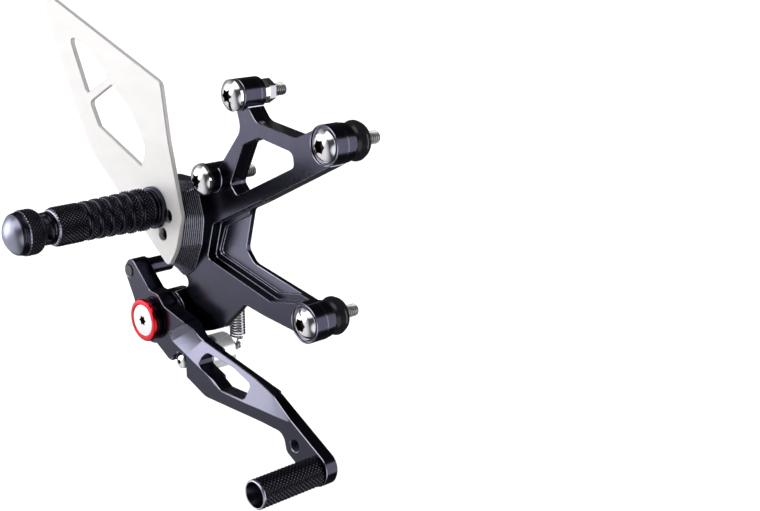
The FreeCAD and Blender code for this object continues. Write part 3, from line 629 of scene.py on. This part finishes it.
turned_piece("knob_knurled", KNOB_PROFILE, PEG, GUARD_FACE, 38, 2.3, "peg_knob", ROOT,
             (94.25, 94.9))
turned_piece("toe_peg_knurled", TOE_PROFILE, TOE, LEVER_FRONT, 22, 2.6, "toe_peg", LEVER,
             (43.45, 45.1))


# ---- return spring ------------------------------------------------------------------------------
SPRING_X = -113.8
SPRING_Y = -6.6
COIL_RADIUS = 4.6
COIL_TOP = -121.4
COIL_BOTTOM = -144.9
COIL_TURNS = 13
TURN_STEPS = 28
WIRE_RADIUS = 0.65
WIRE_SIDES = 10
HOOK_STEP = 12.5    # degrees between the points of a hook


def hook(place, radius, start, steps):
    """Points round a post or pin, from a start angle in degrees."""
    return [around(place, radius, math.radians(start - step * HOOK_STEP), SPRING_Y)
            for step in range(steps)]


def spring_line():
    """The upper hook round the post, the coil, and the lower hook round the bobbin's pin."""
    line = hook(SPRING_POST, 2.75, 250, 25)
    line.append((SPRING_X - 0.6, SPRING_Y + 0.4, COIL_TOP + 3.2))
    line.append((SPRING_X + 1.6, SPRING_Y + 0.6, COIL_TOP + 1.4))
    for step in range(COIL_TURNS * TURN_STEPS + 1):
        angle = 2 * math.pi * step / TURN_STEPS
        height = COIL_TOP + (COIL_BOTTOM - COIL_TOP) * step / (COIL_TURNS * TURN_STEPS)
        line.append((SPRING_X + COIL_RADIUS * math.cos(angle),
                     SPRING_Y + COIL_RADIUS * math.sin(angle), height))
    line.append((SPRING_X + 2.6, SPRING_Y + 1.2, COIL_BOTTOM - 1.6))
    line.append((SPRING_X - 0.8, SPRING_Y + 0.4, COIL_BOTTOM - 2.8))
    return line + hook(SPRING_PIN, 2.3, 60, 24)


def tube(name, line, radius, look):
    """A round wire along a line of millimetre points."""
    points = [Vector(p) for p in line]
    vertices = []
    normal = Vector((0, 1, 0))
    for index, point in enumerate(points):
        ahead = points[min(index + 1, len(points) - 1)]
        behind = points[max(index - 1, 0)]
        tangent = (ahead - behind).normalized()
        normal = (normal - tangent * normal.dot(tangent)).normalized()
        across = tangent.cross(normal)
        for side in range(WIRE_SIDES):
            angle = 2 * math.pi * side / WIRE_SIDES
            vertices.append(point + (normal * math.cos(angle) + across * math.sin(angle)) * radius)
    faces = [tuple(reversed(range(WIRE_SIDES)))]
    last = (len(points) - 1) * WIRE_SIDES
    for here in range(0, last, WIRE_SIDES):
        for side in range(WIRE_SIDES):
            beside = (side + 1) % WIRE_SIDES
            faces.append((here + side, here + beside,
                          here + WIRE_SIDES + beside, here + WIRE_SIDES + side))
    faces.append(tuple(range(last, last + WIRE_SIDES)))
    return new_piece(name, vertices, faces, [look], None)


spring = tube("return_spring_wire", spring_line(), WIRE_RADIUS, WIRE)
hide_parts("return_spring")
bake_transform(spring)


# ---- floor, light and camera --------------------------------------------------------------------
FLOOR_Z = -0.26
FLOOR_HALF = 6.0
PALE = (0.95, 0.95, 0.955)

floor_look = Looks("pale_floor")
floor_look.link(floor_look.blend(floor_look.noise(3.0), PALE, tuple(c * 0.985 for c in PALE)),
                floor_look.shader.inputs["Base Color"])
floor_look.shader.inputs["Roughness"].default_value = 0.8
floor_mesh = bpy.data.meshes.new("floor")
floor_mesh.from_pydata([(x * FLOOR_HALF, y * FLOOR_HALF, FLOOR_Z)
                        for x, y in ((-1, -1), (1, -1), (1, 1), (-1, 1))], [], [(0, 1, 2, 3)])
floor_mesh.materials.append(floor_look.material)
floor = bpy.data.objects.new("floor", floor_mesh)
bpy.context.scene.collection.objects.link(floor)
floor.visible_glossy = False
floor.visible_shadow = False

sun_data = bpy.data.lights.new("soft_top", "SUN")
sun_data.energy = 3.4
sun_data.angle = math.radians(110)
sun = bpy.data.objects.new("soft_top", sun_data)
sun.rotation_euler = (math.radians(18), math.radians(-12), 0)
sun.visible_glossy = False
bpy.context.scene.collection.objects.link(sun)


class Surround:
    """A world of soft lights around a dim room, which the camera itself sees as white."""

    def __init__(self):
        self.world = bpy.data.worlds.new("studio")
        self.world.use_nodes = True
        bpy.context.scene.world = self.world
        self.tree = self.world.node_tree
        self.where = self.tree.nodes.new("ShaderNodeTexCoord").outputs["Generated"]
        self.total = None

    def maths(self, operation, first, second):
        node = self.tree.nodes.new("ShaderNodeMath")
        node.operation = operation
        for index, value in enumerate((first, second)):
            if isinstance(value, (int, float)):
                node.inputs[index].default_value = value
            else:
                self.tree.links.new(value, node.inputs[index])
        return node.outputs[0]

    def along(self, axis):
        node = self.tree.nodes.new("ShaderNodeVectorMath")
        node.operation = "DOT_PRODUCT"
        node.inputs[1].default_value = Vector(axis).normalized()
        self.tree.links.new(self.where, node.inputs[0])
        return node.outputs["Value"]

    def ramp(self, value, low, high, result_low=0.0, result_high=1.0):
        node = self.tree.nodes.new("ShaderNodeMapRange")
        node.interpolation_type = "SMOOTHSTEP"
        for name, amount in (("From Min", low), ("From Max", high), ("To Min", result_low),
                             ("To Max", result_high)):
            node.inputs[name].default_value = amount
        self.tree.links.new(value, node.inputs["Value"])
        return node.outputs["Result"]

    def add(self, strength):
        if self.total is None:
            self.total = strength
        else:
            self.total = self.maths("ADD", self.total, strength)

    def patch(self, axis, low, high, strength):
        """A round glow about an axis: full where the cosine passes high, none below low."""
        self.add(self.ramp(self.along(axis), low, high, 0.0, strength))

    def panel(self, azimuth, half_width, z_low, z_high, edge, strength):
        """An upright panel: azimuth in degrees from +X towards +Y, the rest as sines."""
        turn = math.radians(azimuth)
        ahead = self.ramp(self.along((math.cos(turn), math.sin(turn), 0)), 0.2, 0.3)
        side = self.maths("ABSOLUTE", self.along((-math.sin(turn), math.cos(turn), 0)), 0.0)
        inside = self.ramp(side, half_width, half_width + edge, 1.0, 0.0)
        up = self.along((0, 0, 1))
        band = self.maths("MULTIPLY", self.ramp(up, z_low - edge, z_low),
                          self.ramp(up, z_high, z_high + edge, 1.0, 0.0))
        shape = self.maths("MULTIPLY", self.maths("MULTIPLY", ahead, inside), band)
        self.add(self.maths("MULTIPLY", shape, strength))

    def finish(self, base):
        background = self.tree.nodes["Background"]
        self.add(base)
        self.tree.links.new(self.total, background.inputs["Strength"])
        background.inputs["Color"].default_value = (0.985, 0.985, 1.0, 1)
        seen = self.tree.nodes.new("ShaderNodeBackground")
        seen.inputs["Color"].default_value = (1, 1, 1, 1)
        mixer = self.tree.nodes.new("ShaderNodeMixShader")
        path = self.tree.nodes.new("ShaderNodeLightPath")
        self.tree.links.new(path.outputs["Is Camera Ray"], mixer.inputs["Fac"])
        self.tree.links.new(background.outputs[0], mixer.inputs[1])
        self.tree.links.new(seen.outputs[0], mixer.inputs[2])
        self.tree.links.new(mixer.outputs[0], self.tree.nodes["World Output"].inputs["Surface"])


studio = Surround()
studio.patch((-0.69, -0.67, -0.2), 0.45, 0.8, 0.75)     # a broad light that the faces reflect
studio.patch((-0.78, -0.61, 0.1), 0.89, 0.98, 2.3)      # its bright middle, towards the top
studio.patch((-0.45, -0.82, 0.3), 0.9, 0.96, 1.1)       # a small bright spot beside it
studio.panel(44, 0.24, -0.5, 0.42, 0.05, 2.2)           # the strip along the bosses' flanks
studio.patch((0.0, -0.6, 0.8), 0.85, 0.95, 1.3)         # high in front
studio.patch((0.75, -0.55, -0.35), 0.8, 0.95, 0.9)      # low, beside the camera
studio.finish(0.06)

bpy.context.scene.view_settings.view_transform = "Standard"

AZIMUTH = math.radians(45.94)
ELEVATION = math.radians(15.76)
CAMERA_PLACE = (0.5483, -0.5178, 0.1438)
LENS = 63.6
back = Vector((math.sin(AZIMUTH) * math.cos(ELEVATION), -math.cos(AZIMUTH) * math.cos(ELEVATION),
               math.sin(ELEVATION)))
camera_data = bpy.data.cameras.new("camera")
camera_data.sensor_width = 36.0
camera_data.lens = LENS
camera_data.clip_start = 0.01
camera_data.clip_end = 20.0
camera = bpy.data.objects.new("camera", camera_data)
camera.location = CAMERA_PLACE
camera.rotation_mode = "QUATERNION"
camera.rotation_quaternion = (-back).to_track_quat("-Z", "Y")
bpy.context.scene.collection.objects.link(camera)
bpy.context.scene.camera = camera
